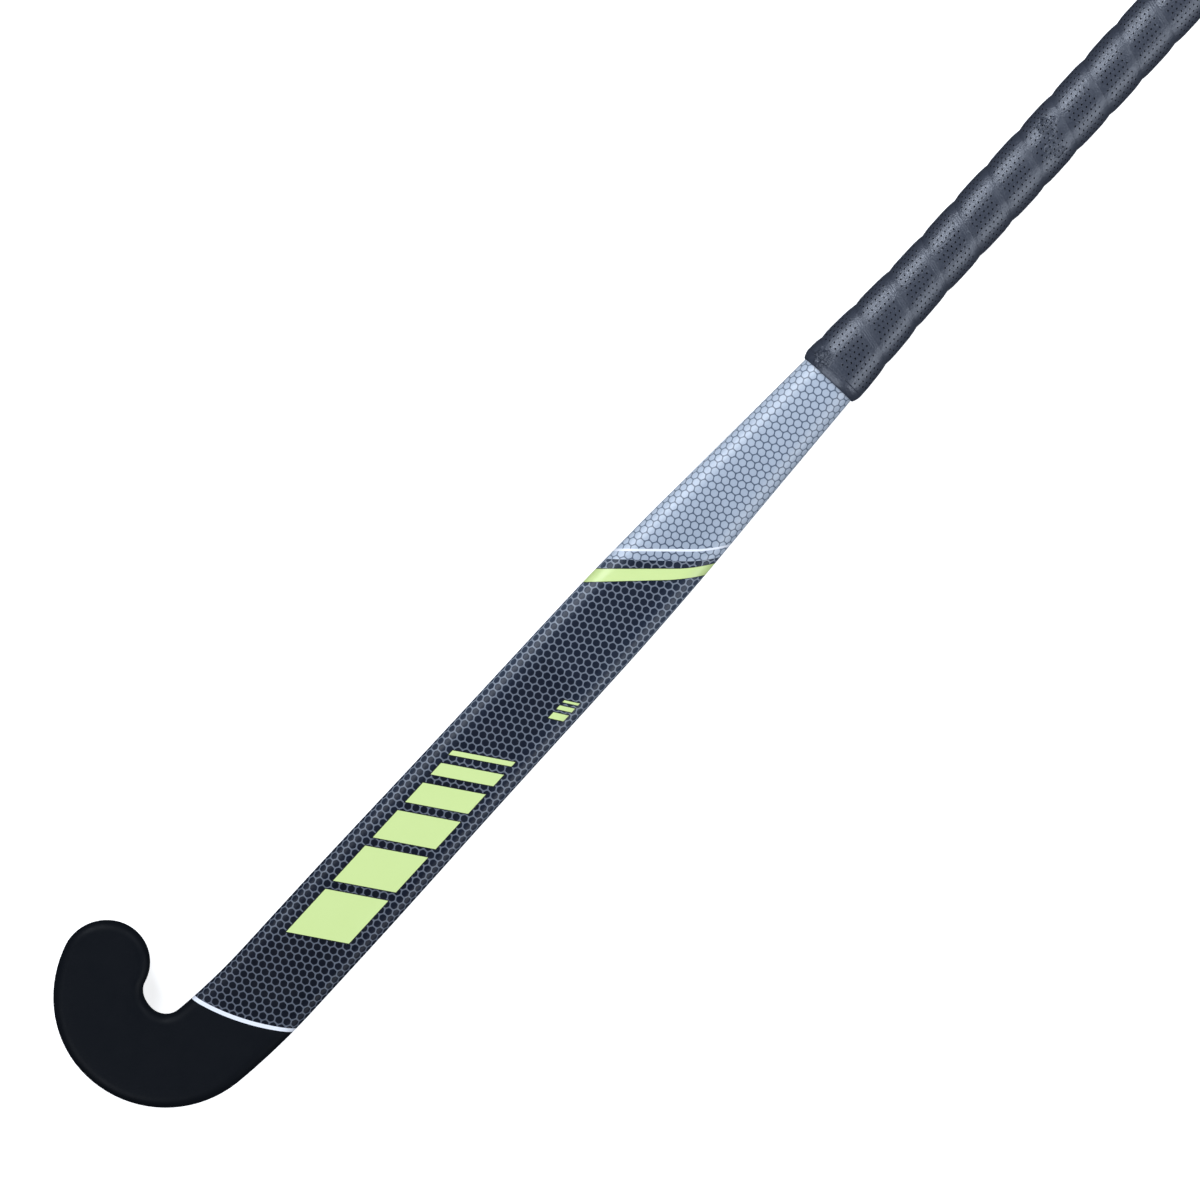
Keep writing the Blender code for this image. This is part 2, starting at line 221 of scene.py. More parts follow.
def half_girth(along):
    """Distance round the skin from the face's middle to the back's middle."""
    return np.interp(along, GIRTH_PLACES, GIRTH_HALF)


def angle_at(along, around):
    """Section angle at a distance round the skin from the face's middle."""
    fraction = np.clip(np.abs(around) / half_girth(along), 0, 1)
    last_row = len(GIRTH_PLACES) - 1
    last_column = len(GIRTH_FRACTIONS) - 1
    row = np.clip((along - GIRTH_PLACES[0]) / GIRTH_STEP, 0, last_row - 0.001)
    column = np.clip(fraction * last_column, 0, last_column - 0.001)
    i, k = row.astype(int), column.astype(int)
    a, b = row - i, column - k
    return (
        GIRTH_ANGLE[i, k] * (1 - a) * (1 - b)
        + GIRTH_ANGLE[i + 1, k] * a * (1 - b)
        + GIRTH_ANGLE[i, k + 1] * (1 - a) * b
        + GIRTH_ANGLE[i + 1, k + 1] * a * b
    )


def skin_across(along, around):
    """How far across the shaft a place on the skin lies, the toe's side positive."""
    reach, _ = section_point(along, angle_at(along, around), 0.0)
    return np.sign(around) * reach


def skin_point(along, around):
    """Point in the row frame at a place along and a distance round the skin."""
    along, around = np.asarray(along, float), np.asarray(around, float)
    reach, height = section_point(along, angle_at(along, around), 0.0)
    x, y, heading = middle_line(along)
    side = np.sign(around)
    return place(x + side * reach * np.sin(heading), y - side * reach * np.cos(heading), height)


# The lacquer fills in round the edges of the flat: shading turns over this distance either way
SOFT_STEP = 0.0024
FINE_STEP = 0.0001
SEAM_MARGIN = 0.00005


def skin_normal(along, around):
    """Normal of the lacquered skin, with no lean sideways along the seam of the back."""
    limit = half_girth(along) - SEAM_MARGIN
    centre = np.clip(around, -limit + FINE_STEP, limit - FINE_STEP)
    lengthwise = skin_point(along + FINE_STEP, centre) - skin_point(along - FINE_STEP, centre)
    inner = np.clip(around, SOFT_STEP - limit, limit - SOFT_STEP)
    crosswise = skin_point(along, inner + SOFT_STEP) - skin_point(along, inner - SOFT_STEP)
    normal = np.cross(lengthwise, crosswise)
    back = np.abs(around) > limit
    normal[..., 1] = np.where(back, 0.0, normal[..., 1])
    return normal / np.linalg.norm(normal, axis=-1, keepdims=True)


def half_samples(along):
    """Angles of the half section's samples, closest together on the rounded edge."""
    width, edge, _, _ = section_values(along)
    flat = width - edge
    share = flat / (flat + edge * math.pi / 2) * math.pi / 2
    flat_part = [share * i / FLAT_STEPS for i in range(FLAT_STEPS)]
    edge_part = [share + (math.pi / 2 - share) * i / EDGE_STEPS for i in range(EDGE_STEPS)]
    back_part = [math.pi / 2 * (1 + i / BACK_STEPS) for i in range(BACK_STEPS + 1)]
    return np.array(flat_part + edge_part + back_part)


def half_section(along, inset):
    """Reach and height at those samples, from the face's middle to the back's."""
    angles = half_samples(along)
    return section_point(np.full(len(angles), along), angles, inset)


# -------------------- materials


def linear(*colour):
    """Shader colour for an 8-bit display colour."""
    def one(value):
        value /= 255
        return value / 12.92 if value <= 0.04045 else ((value + 0.055) / 1.055) ** 2.4
    return tuple(one(value) for value in colour) + (1.0,)


class Recipe:
    """A node material with a helper to add and link its nodes."""

    def __init__(self, name, colour, roughness, specular=0.5):
        self.material = bpy.data.materials.new(name)
        self.material.use_nodes = True
        self.nodes = self.material.node_tree.nodes
        self.links = self.material.node_tree.links
        self.shader = self.nodes["Principled BSDF"]
        self.shader.inputs["Base Color"].default_value = colour
        self.shader.inputs["Roughness"].default_value = roughness
        self.shader.inputs["Specular IOR Level"].default_value = specular
        self.normal = None
        self.place = self.nodes.new("ShaderNodeTexCoord").outputs["Object"]

    def node(self, kind, inputs=(), **settings):
        made = self.nodes.new(kind)
        for key, value in settings.items():
            setattr(made, key, value)
        for key, value in dict(inputs).items():
            if isinstance(value, bpy.types.NodeSocket):
                self.links.new(value, made.inputs[key])
            else:
                made.inputs[key].default_value = value
        return made

    def noise(self, scale, detail=3.0, rough=0.5, stretch=None):
        vector = self.place
        if stretch:
            vector = self.node("ShaderNodeMapping", {"Vector": vector, "Scale": stretch}).outputs[0]
        inputs = {"Vector": vector, "Scale": scale, "Detail": detail, "Roughness": rough}
        return self.node("ShaderNodeTexNoise", inputs).outputs["Fac"]

    def voronoi(self, scale, feature):
        inputs = {"Vector": self.place, "Scale": scale}
        return self.node("ShaderNodeTexVoronoi", inputs, feature=feature).outputs["Distance"]

    def math(self, operation, a, b=0.0, c=0.0):
        return self.node("ShaderNodeMath", {0: a, 1: b, 2: c}, operation=operation).outputs[0]

    def ranged(self, value, low, high, to_low, to_high):
        inputs = {"Value": value, "From Min": low, "From Max": high, "To Min": to_low, "To Max": to_high}
        return self.node("ShaderNodeMapRange", inputs).outputs[0]

    def rough_range(self, value, low, high):
        """Roughness that a noise moves between two values."""
        self.links.new(self.ranged(value, 0.3, 0.7, low, high), self.shader.inputs["Roughness"])

    def bump(self, height, strength, distance):
        """Bump on top of the bumps added before it."""
        inputs = {"Height": height, "Strength": strength, "Distance": distance}
        if self.normal is not None:
            inputs["Normal"] = self.normal
        self.normal = self.node("ShaderNodeBump", inputs).outputs[0]
        self.links.new(self.normal, self.shader.inputs["Normal"])

    def tint(self, value, low, high, first, second):
        """Colour that runs from first to second as value runs from low to high."""
        share = self.ranged(value, low, high, 0.0, 1.0)
        mixed = self.node("ShaderNodeMix", {0: share, 6: first, 7: second}, data_type="RGBA")
        self.links.new(mixed.outputs[2], self.shader.inputs["Base Color"])


def printed(name, colour, rough=(0.32, 0.42), gloss=0.45):
    """One ink of the shaft's print under its clear lacquer."""
    recipe = Recipe(name, colour, 0.37, gloss)
    recipe.rough_range(recipe.noise(90.0, 3.0), *rough)
    recipe.bump(recipe.noise(240.0, 2.0), 0.12, 0.0003)
    return recipe.material


def head_black():
    """Matt black lacquer, finely grained."""
    recipe = Recipe("head_black", linear(15, 18, 23), 0.46, 0.06)
    recipe.rough_range(recipe.noise(120.0, 4.0), 0.40, 0.52)
    recipe.bump(recipe.noise(2600.0, 2.0), 0.18, 0.0002)
    recipe.bump(recipe.noise(160.0, 2.0), 0.10, 0.0004)
    return recipe.material


# Places where the tape is bunched up: along, across, reach and strength of the folds
CREASES = (
    (0.5306, 0.0094, 0.0058, 0.9),
    (0.6950, 0.0050, 0.0055, 0.6),
    (0.6890, -0.0055, 0.0050, 0.45),
)
CREASE_HEIGHT = 0.001


def grip_skin(name="grip_skin"):
    """Cushioned polyurethane tape: soft sheen, leathery grain, a few bunched places."""
    recipe = Recipe(name, linear(49, 54, 66), 0.42, 0.88)
    recipe.shader.inputs["Specular Tint"].default_value = (0.88, 0.92, 1.0, 1.0)
    recipe.rough_range(recipe.noise(1100.0, 4.0), 0.30, 0.48)
    recipe.bump(recipe.voronoi(1500.0, "SMOOTH_F1"), 0.4, 0.0002)
    recipe.bump(recipe.noise(1150.0, 2.0, 0.6), 0.5, 0.0003)
    recipe.bump(recipe.noise(330.0, 4.0, 0.6), 0.4, 0.0005)
    for along, across, reach, strength in CREASES:
        spot = place(along, across, CREASE_HEIGHT).tolist()
        apart = recipe.node("ShaderNodeVectorMath", {0: recipe.place, 1: spot}, operation="DISTANCE")
        edge = recipe.noise(300.0, 3.0)
        ragged = recipe.math("MULTIPLY_ADD", edge, 1.8 * reach, apart.outputs["Value"])
        share = recipe.ranged(ragged, 1.9 * reach, 1.2 * reach, 0.0, 1.0)
        folds = recipe.noise(430.0, 2.0, 0.5, (1.0, 2.2, 1.0))
        recipe.bump(recipe.math("MULTIPLY", folds, share), strength, 0.0025)
    return recipe.material


def grip_hole_painted_shade():
    """Inside of a perforation, painted near black as the shade in the hole."""
    recipe = Recipe("grip_hole_painted_shade", linear(10, 12, 17), 0.9, 0.1)
    recipe.rough_range(recipe.noise(400.0, 2.0), 0.85, 0.95)
    return recipe.material


def woven(name, first, second, thread, roughness):
    """Woven fibre: warp and weft bands that cross over and under."""
    recipe = Recipe(name, first, roughness, 0.5)
    spot = recipe.node("ShaderNodeSeparateXYZ", {0: recipe.place})
    rising = recipe.math("ADD", spot.outputs[0], spot.outputs[1])
    falling = recipe.math("SUBTRACT", spot.outputs[0], spot.outputs[1])
    warp = recipe.math("SINE", recipe.math("MULTIPLY", rising, math.pi / thread))
    weft = recipe.math("SINE", recipe.math("MULTIPLY", falling, math.pi / thread))
    over = recipe.math("MULTIPLY", warp, weft)
    recipe.tint(over, -0.4, 0.4, first, second)
    recipe.bump(over, 0.5, 0.0003)
    recipe.rough_range(recipe.noise(300.0, 3.0), roughness - 0.08, roughness + 0.08)
    return recipe.material


def foamy(name, first, second, scale):
    """Closed-cell foam: small bubbles."""
    recipe = Recipe(name, first, 0.9, 0.2)
    bubbles = recipe.voronoi(scale, "F1")
    recipe.tint(bubbles, 0.1, 0.7, first, second)
    recipe.bump(bubbles, 0.6, 0.0005)
    return recipe.material


def strands(name, first, second):
    """Carbon laid along the stick: fine streaks lengthwise."""
    recipe = Recipe(name, first, 0.4, 0.5)
    streak = recipe.noise(60.0, 4.0, 0.6, (0.6, 26.0, 26.0))
    recipe.tint(streak, 0.35, 0.65, first, second)
    recipe.rough_range(streak, 0.32, 0.5)
    recipe.bump(streak, 0.25, 0.0002)
    return recipe.material


def cushion_wrap():
    """Pale felt under the tape."""
    recipe = Recipe("underlay_felt", linear(190, 190, 186), 0.95, 0.1)
    fuzz = recipe.noise(900.0, 5.0, 0.7)
    recipe.tint(fuzz, 0.3, 0.7, linear(168, 168, 165), linear(206, 206, 202))
    recipe.bump(fuzz, 0.5, 0.0004)
    return recipe.material


def cap_rubber():
    """Dull black rubber with a moulded grain."""
    recipe = Recipe("cap_rubber_black", linear(38, 40, 46), 0.6, 0.35)
    recipe.rough_range(recipe.noise(140.0, 4.0), 0.5, 0.7)
    recipe.bump(recipe.noise(1500.0, 3.0), 0.2, 0.0002)
    return recipe.material


# -------------------- meshes


def new_piece(name, bm, materials, normals=None):
    """Object from a finished bmesh. normals, if given, has a row for each vertex, NaN for its own."""
    mesh = bpy.data.meshes.new(name)
    bm.to_mesh(mesh)
    bm.free()
    for material in materials:
        mesh.materials.append(material)
    mesh.shade_smooth()
    if normals is not None:
        own = np.zeros(len(mesh.vertices) * 3, np.float32)
        mesh.vertex_normals.foreach_get("vector", own)
        own = own.reshape(-1, 3)
        known = ~np.isnan(normals[:, 0])
        own[known] = normals[known]
        mesh.normals_split_custom_set_from_vertices([tuple(map(float, row)) for row in own])
    made = bpy.data.objects.new(name, mesh)
    bpy.context.scene.collection.objects.link(made)
    return made


def join_loops(bm, first, second, tag=0, closed=True):
    """Band of quads between two loops of the same length."""
    count = len(first) if closed else len(first) - 1
    for i in range(count):
        k = (i + 1) % len(first)
        corners = list(dict.fromkeys((first[i], first[k], second[k], second[i])))
        if len(corners) > 2:
            bm.faces.new(corners).material_index = tag


def zip_loops(bm, first, first_at, second, second_at, tag):
    """Triangles between two closed loops whose vertices stand at fractions 0 to 1, both from 0."""
    i = k = 0
    while i < len(first) or k < len(second):
        next_first = first_at[i + 1] if i + 1 < len(first) else 1.0
        next_second = second_at[k + 1] if k + 1 < len(second) else 1.0
        a, b = first[i % len(first)], second[k % len(second)]
        if k >= len(second) or (i < len(first) and next_first <= next_second):
            corners = (a, first[(i + 1) % len(first)], b)
            i += 1
        else:
            corners = (a, second[(k + 1) % len(second)], b)
            k += 1
        bm.faces.new(corners).material_index = tag


# The shell's inks. The honeycomb's come in steps of painted highlight, lighter up the shaft and towards its
# edges
HEAD, LIME, WHITE, OUTLINE, BARE, DARK_CELL = range(6)
HIGHLIGHT_STEPS = 12
DARK_LINE = DARK_CELL + HIGHLIGHT_STEPS
LIGHT_CELL = DARK_LINE + HIGHLIGHT_STEPS
LIGHT_LINE = LIGHT_CELL + HIGHLIGHT_STEPS


def dark_painted_highlight(along, around):
    """How much painted highlight the dark honeycomb gets at a place, from 0 to 1: lighter up the shaft and
    towards its edges, more on the toe's side, partly the print's own lightening at the edges.
    """
    climb = np.clip((along - 0.10) / 0.30, 0, 1)
    rim = np.clip((np.abs(around) - 0.010) / 0.014, 0, 1) ** 1.4
    toe_side = np.clip(skin_across(along, around) / 0.016, -1, 1)
    return np.clip(0.34 * climb + (0.22 + 0.40 * climb) * rim * (0.88 + 0.12 * toe_side), 0, 1)


def light_painted_highlight(along, around):
    """How much painted highlight the pale honeycomb gets at a place, from 0 to 1: lighter up the shaft and
    towards both edges, most on the toe's side.
    """
    side = skin_across(along, around) / 0.012
    return np.clip(0.25 + 0.27 * (along - 0.40) / 0.12 + 0.21 * side * side + 0.08 * side, 0, 1)


# The flat sheet: tags of its faces, its reach either way, and how many cells stand past each end
CELL, LINE = 0, 1
CELL_SIDES = 6
SHEET_HALF_WIDTH = 0.072
SPARE_CELLS = 2


def cell_reach(around, along):
    """Distance from a cell's middle to its rounded corners, for the line width of its zone."""
    # By the seam all cells go by the middle, so that the sheet's two edges match
    near_seam = half_girth(along) - abs(around) < 2 * CELL_PITCH
    side = 0.0 if near_seam else skin_across(along, around)
    line_width = LIGHT_LINE_WIDTH if along > ZONE_CHANGE(side) else DARK_LINE_WIDTH
    return (CELL_PITCH - line_width) / 2 / math.cos(math.radians(30 - CELL_ROUNDING))


def cell_spot(around, along, reach, degrees):
    """Place in the flat sheet at a reach and an angle from a cell's middle."""
    angle = math.radians(degrees)
    return 0.0, around + reach * math.sin(angle), along + reach * math.cos(angle)


def add_cell(bm, around, along, shared):
    """One rounded cell and its share of the lines round it, out to corners it shares."""
    reach = cell_reach(around, along)
    outer = []
    inner = []
    for k in range(CELL_SIDES):
        angle = 60 * k + 30
        outer.append(shared(cell_spot(around, along, CELL_PITCH / math.sqrt(3), angle)))
        for turn in (-CELL_ROUNDING, CELL_ROUNDING):
            inner.append(bm.verts.new(cell_spot(around, along, reach, angle + turn)))
    hub = bm.verts.new((0.0, around, along))
    for k in range(len(inner)):
        bm.faces.new((inner[k], inner[(k + 1) % len(inner)], hub)).material_index = CELL
    for k in range(CELL_SIDES):
        first, second, third = inner[2 * k], inner[2 * k + 1], inner[(2 * k + 2) % len(inner)]
        next_outer = outer[(k + 1) % CELL_SIDES]
        bm.faces.new((first, outer[k], second)).material_index = LINE
        bm.faces.new((second, outer[k], next_outer, third)).material_index = LINE


def honeycomb(bm):
    """Flat honeycomb in (0, around, along), a little larger than the printed stretch."""
    row_gap = CELL_PITCH * math.sqrt(3) / 2
    found = {}

    def shared(spot):
        key = tuple(round(value * 1e6) for value in spot)
        if key not in found:
            found[key] = bm.verts.new(spot)
        return found[key]

    rows = int(SHEET_HALF_WIDTH / row_gap) + 1
    count = int((PRINT_HIGH - PRINT_LOW) / CELL_PITCH) + 2 * SPARE_CELLS
    for row in range(-rows, rows + 1):
        shift = CELL_PITCH / 2 if row % 2 else 0.0
        for i in range(count):
            along = PRINT_LOW + (i - SPARE_CELLS) * CELL_PITCH + shift
            add_cell(bm, row * row_gap, along, shared)


# Tolerances: a vertex on a cut, on the sheet's end and on the seam, and a sliver's length
CUT_SNAP = 2e-6
END_SNAP = 5e-6
SEAM_WELD = 3e-5
SLIVER = 5e-6


def cut_sheet(bm, field, drop=False, near=None):
    """Cut the flat sheet where field(along, around) is zero, and drop what lies above if asked."""
    verts = list(bm.verts)
    around = np.array([v.co.y for v in verts])
    along = np.array([v.co.z for v in verts])
    values = field(along, around)
    inside = np.ones(len(verts), bool) if near is None else near(along, around)
    for v, value, keep in zip(verts, values, inside):
        v.co.x = value
        v.tag = bool(keep)
    parts = set()
    for face in bm.faces:
        xs = [v.co.x for v in face.verts]
        if min(xs) < 0 < max(xs) and any(v.tag for v in face.verts):
            parts.update((face, *face.edges, *face.verts))
    if parts:
        bmesh.ops.bisect_plane(bm, geom=list(parts), dist=CUT_SNAP, plane_co=(0, 0, 0), plane_no=(1, 0, 0))
    if drop:
        gone = [face for face in bm.faces if sum(v.co.x for v in face.verts) / len(face.verts) > 0]
        bmesh.ops.delete(bm, geom=gone, context="FACES")


# Past this distance across, on the heel's side, the upper boundaries turn up
TURN_UP_FROM = 0.008


def stripe(centre, slope, curve, turn_up=0.0):
    """Height along the stick of a slanting boundary, as a function of the place across."""
    def height(across):
        heel_side = np.maximum(-across - TURN_UP_FROM, 0.0)
        return centre + slope * across + curve * across * across + turn_up * heel_side * heel_side

    return height


WHITE_LOW = (stripe(0.0743, -0.538, 4.3), stripe(0.0767, -0.538, 4.3))
LIME_BAND = (stripe(0.3836, -0.965, 0.0, 16.0), stripe(0.3918, -0.920, 0.0, 22.0))
ZONE_CHANGE = stripe(0.3975, -0.86, 0.0, 22.0)
WHITE_HIGH = (stripe(0.4039, -0.905, 0.0, 23.0), stripe(0.4057, -0.905, 0.0, 23.0))
OUTLINE_WIDTH = 0.0005


def slanted(start, widths, gap, sides, lean):
    """Slanting bars up the face: the corners of each as (along, across)."""
    low_side, high_side = sides
    made = []
    for width in widths:
        end = start + width
        low_corners = ((start + lean, low_side), (end + lean, low_side))
        made.append(low_corners + ((end - lean, high_side), (start - lean, high_side)))
        start += width + gap
    return made


BARS = slanted(0.134, (0.030, 0.0245, 0.019, 0.0135, 0.008, 0.003), 0.0058, (-0.0145, 0.0135), 0.00868)
TICKS = slanted(0.300, (0.0040, 0.0026, 0.0014), 0.0022, (-0.0185, -0.0115), 0.002)
BAR_MARGIN = 0.002


def outside_of(corners, grow):
    """Signed distance outside a convex outline, grown by an amount, for along and across arrays."""
    centre = np.mean(corners, axis=0)
    lines = []
    for i, (x, y) in enumerate(corners):
        u, v = corners[(i + 1) % len(corners)]
        length = math.hypot(u - x, v - y)
        nx, ny = (v - y) / length, -(u - x) / length
        if (centre[0] - x) * nx + (centre[1] - y) * ny > 0:
            nx, ny = -nx, -ny
        lines.append((x, y, nx, ny))

    def distances(along, across):
        return [(along - x) * nx + (across - y) * ny - grow for x, y, nx, ny in lines]

    return distances


def on_front(along, around):
    return angle_at(along, around) < math.pi / 2


def cut_bar(bm, corners, grow):
    """Cut the sheet along the four sides of a bar on the face, grown by an amount."""
    distances = outside_of(corners, grow)

    def near(along, around):
        far = np.max(distances(along, skin_across(along, around)), axis=0)
        return on_front(along, around) & (far < BAR_MARGIN)

    for i in range(len(corners)):
        cut_sheet(bm, lambda along, around: distances(along, skin_across(along, around))[i], near=near)


def cut_print(bm):
    """Trim the honeycomb to the shaft and cut it along every edge of the print."""
    cut_sheet(bm, lambda along, around: along - PRINT_HIGH, drop=True)
    cut_sheet(bm, lambda along, around: PRINT_LOW - along, drop=True)
    cut_sheet(bm, lambda along, around: around - half_girth(along), drop=True)
    cut_sheet(bm, lambda along, around: -around - half_girth(along), drop=True)
    edges = [(curve, 0.0) for curve in WHITE_LOW + LIME_BAND + (ZONE_CHANGE,) + WHITE_HIGH]
    edges += [(LIME_BAND[0], -OUTLINE_WIDTH), (LIME_BAND[1], OUTLINE_WIDTH)]
    for curve, shift in edges:
        cut_sheet(bm, lambda along, around: along - curve(skin_across(along, around)) - shift)
    for corners in BARS + TICKS:
        for grow in (0.0, OUTLINE_WIDTH):
            cut_bar(bm, corners, grow)


def between(curves, along, across, grow=0.0):
    """Whether places lie between two boundaries that are moved apart by an amount."""
    return (along > curves[0](across) - grow) & (along < curves[1](across) + grow)


def ink_sheet(bm):
    """Give every face of the cut sheet its ink."""
    faces = list(bm.faces)
    centres = np.array([face.calc_center_median() for face in faces])
    around, along = centres[:, 1], centres[:, 2]
    across = skin_across(along, around)
    line = np.array([face.material_index == LINE for face in faces])
    # Painted highlight: each cell and line takes the ink step for the light painted on at its place
    dark_highlight_step = np.minimum((dark_painted_highlight(along, around) * HIGHLIGHT_STEPS).astype(int), HIGHLIGHT_STEPS - 1)
    light_highlight_step = np.minimum((light_painted_highlight(along, around) * HIGHLIGHT_STEPS).astype(int), HIGHLIGHT_STEPS - 1)
    ink = np.where(
        along > ZONE_CHANGE(across),
        np.where(line, LIGHT_LINE, LIGHT_CELL) + light_highlight_step,
        np.where(line, DARK_LINE, DARK_CELL) + dark_highlight_step,
    )
    ink[along < WHITE_LOW[1](across)] = WHITE
    ink[along < WHITE_LOW[0](across)] = HEAD
    ink[between(WHITE_HIGH, along, across)] = WHITE
    ink[between(LIME_BAND, along, across, OUTLINE_WIDTH)] = OUTLINE
    ink[between(LIME_BAND, along, across)] = LIME
    front = on_front(along, around)
    for corners in BARS + TICKS:
        far = np.max(outside_of(corners, 0.0)(along, across), axis=0)
        ink[front & (far < OUTLINE_WIDTH)] = OUTLINE
        ink[front & (far < 0)] = LIME
    for face, value in zip(faces, ink):
        face.material_index = int(value)


def wrap_sheet(bm, known):
    """Bend the flat sheet round the stick and weld it along the back's middle.

    known takes each vertex's normal, place along, place around and whether it is on the seam.
    """
    verts = list(bm.verts)
    around = np.array([v.co.y for v in verts])
    along = np.array([v.co.z for v in verts])
    points = skin_point(along, around)
    normals = skin_normal(along, around)
    half = half_girth(along)
    for i, v in enumerate(verts):
        v.co = points[i]
        known[v] = (tuple(normals[i]), along[i], around[i], abs(abs(around[i]) - half[i]) < SEAM_WELD)
    seam = [v for v, (_, _, _, on_seam) in known.items() if on_seam]
    bmesh.ops.remove_doubles(bm, verts=seam, dist=SEAM_WELD)
    seam = {v for v in seam if v.is_valid}
    edges = [edge for edge in bm.edges if edge.verts[0] in seam or edge.verts[1] in seam]
    bmesh.ops.dissolve_degenerate(bm, dist=SLIVER, edges=edges)


def sheet_edge(bm, known, at):
    """Vertices of the sheet's open end at a place along, with their fraction round from the back."""
    found = []
    half = half_girth(at)
    for v, (_, along, around, on_seam) in known.items():
        if v.is_valid and abs(along - at) < END_SNAP:
            fraction = 0.0 if on_seam else (around + half) / (2 * half)
            found.append((fraction, v))
    found.sort(key=lambda pair: pair[0])
    return [v for _, v in found], [fraction for fraction, _ in found]


def ring_points(along, inset):
    """Ring of the section from the back's middle by -Y, over the face, and back by +Y."""
    reach, height = half_section(along, inset)
    x, y, heading = middle_line(along)
    side = np.concatenate([-np.ones(len(reach)), np.ones(len(reach) - 2)])
    reach = np.concatenate([reach[::-1], reach[1:-1]])
    height = np.concatenate([height[::-1], height[1:-1]])
    return place(x + side * reach * math.sin(heading), y - side * reach * math.cos(heading), height)


def ring_fractions(along):
    """How far round from the back's middle each point of that ring stands, from 0 to 1."""
    reach, height = half_section(along, 0.0)
    length = np.concatenate([[0], np.cumsum(np.hypot(np.diff(reach), np.diff(height)))])
    share = length / length[-1] / 2
    return list(0.5 - share[::-1]) + list(0.5 + share[1:-1])


def add_ring(bm, points):
    return [bm.verts.new(point) for point in points]


def toe_rows(bm, last_ring, inset, tag):
    """Rounded toe: half sections fanned about its centre, from the outer side to the inner."""
    reach, height = half_section(TOE_CENTRE, inset)
    x, y, heading = middle_line(TOE_CENTRE)
    right = np.array((math.sin(heading), -math.cos(heading)))
    ahead = np.array((math.cos(heading), math.sin(heading)))
    count = len(reach)
    face_mid = last_ring[count - 1]
    back_mid = last_ring[0]
    previous = [face_mid] + last_ring[1 : count - 1][::-1] + [back_mid]
    for step in range(1, TOE_STEPS + 1):
        if step < TOE_STEPS:
            turn = math.pi * step / TOE_STEPS
            stretch = 1 + (TOE_REACH - 1) * math.sin(turn) - TOE_SKEW * math.sin(2 * turn)
            direction = -right * math.cos(turn) + ahead * math.sin(turn)
            spot = stretch * reach[1:-1, None] * direction
            points = place(x + spot[:, 0], y + spot[:, 1], height[1:-1])
            row = [face_mid] + add_ring(bm, points) + [back_mid]
        else:
            row = [face_mid] + last_ring[count:] + [back_mid]
        join_loops(bm, previous, row, tag, closed=False)
        previous = row


def spaced(start, end, gap):
    """Evenly spaced places from start to end, about a gap apart."""
    count = max(1, round(abs(end - start) / gap))
    return [start + (end - start) * i / count for i in range(count + 1)]


# Gaps from the printed sheet's ends to the next ring, and between rings
SHEET_GAP = 0.0015
HEAD_GAP = 0.0026
HANDLE_GAP = 0.012
INNER_GAP = 0.015
INNER_BEND_GAP = 0.006
# The honeycomb's inks: colour with no painted highlight, colour with the most, and gloss
INKS_WITH_PAINTED_HIGHLIGHT = (
    ("dark_cell", (3, 9, 23), (74, 85, 102), 0.25),
    ("dark_line", (87, 93, 105), (158, 168, 182), 0.25),
    ("light_cell", (144, 155, 171), (186, 197, 212), 0.49),
    ("light_line", (66, 76, 94), (108, 120, 137), 0.49),
)


def shell_inks():
    """The shell's materials, in the order that the ink numbers count them."""
    inks = [
        head_black(),
        printed("ink_lime", linear(203, 223, 150)),
        printed("ink_white", linear(228, 232, 242)),
        printed("ink_black", linear(14, 17, 24)),
        printed("bare_laminate", linear(46, 50, 58), (0.4, 0.55)),
    ]
    for name, first, last, gloss in INKS_WITH_PAINTED_HIGHLIGHT:
        # Each ink in steps of painted highlight, from none to the most
        for step in range(HIGHLIGHT_STEPS):
            share = step / (HIGHLIGHT_STEPS - 1)
            colour = [a + (b - a) * share for a, b in zip(first, last)]
            inks.append(printed(f"ink_{name}_{step}", linear(*colour), gloss=gloss))
    return inks


def join_rings(bm, rings, tag):
    for first, second in zip(rings, rings[1:]):
        join_loops(bm, first, second, tag)


def add_rings(bm, places, inset):
    return [add_ring(bm, ring_points(along, inset)) for along in places]


def printed_sheet(bm, known):
    """Honeycomb that is cut and inked in the flat, then wrapped round the shaft."""
    honeycomb(bm)
    cut_print(bm)
    ink_sheet(bm)
    wrap_sheet(bm, known)


def extend_sheet(bm, known, at, places, tag):
    """Carry the skin on past the sheet's end at a place along. Gives the last ring."""
    edge, fractions = sheet_edge(bm, known, at)
    rings = add_rings(bm, places, 0.0)
    zip_loops(bm, edge, fractions, rings[0], ring_fractions(places[0]), tag)
    join_rings(bm, rings, tag)
    return rings[-1]


def outer_skin(bm, known):
    """Black head below the printed sheet and bare handle above it. Gives the handle's last ring."""
    head_places = spaced(PRINT_LOW - SHEET_GAP, TOE_CENTRE, HEAD_GAP)
    toe_rows(bm, extend_sheet(bm, known, PRINT_LOW, head_places, HEAD), 0.0, HEAD)
    handle_places = spaced(PRINT_HIGH + SHEET_GAP, SHELL_END, HANDLE_GAP)
    return extend_sheet(bm, known, PRINT_HIGH, handle_places, BARE)


def inner_skin(bm, handle_rim):
    """Inside of the wall, joined to the outer skin at the handle's open end."""
    places = spaced(SHELL_END, BEND_START, INNER_GAP)[:-1]
    places += spaced(BEND_START, TOE_CENTRE, INNER_BEND_GAP)
    rings = add_rings(bm, places, SHELL_WALL)
    join_rings(bm, rings, BARE)
    toe_rows(bm, rings[-1], SHELL_WALL, BARE)
    join_loops(bm, handle_rim, rings[0], BARE)


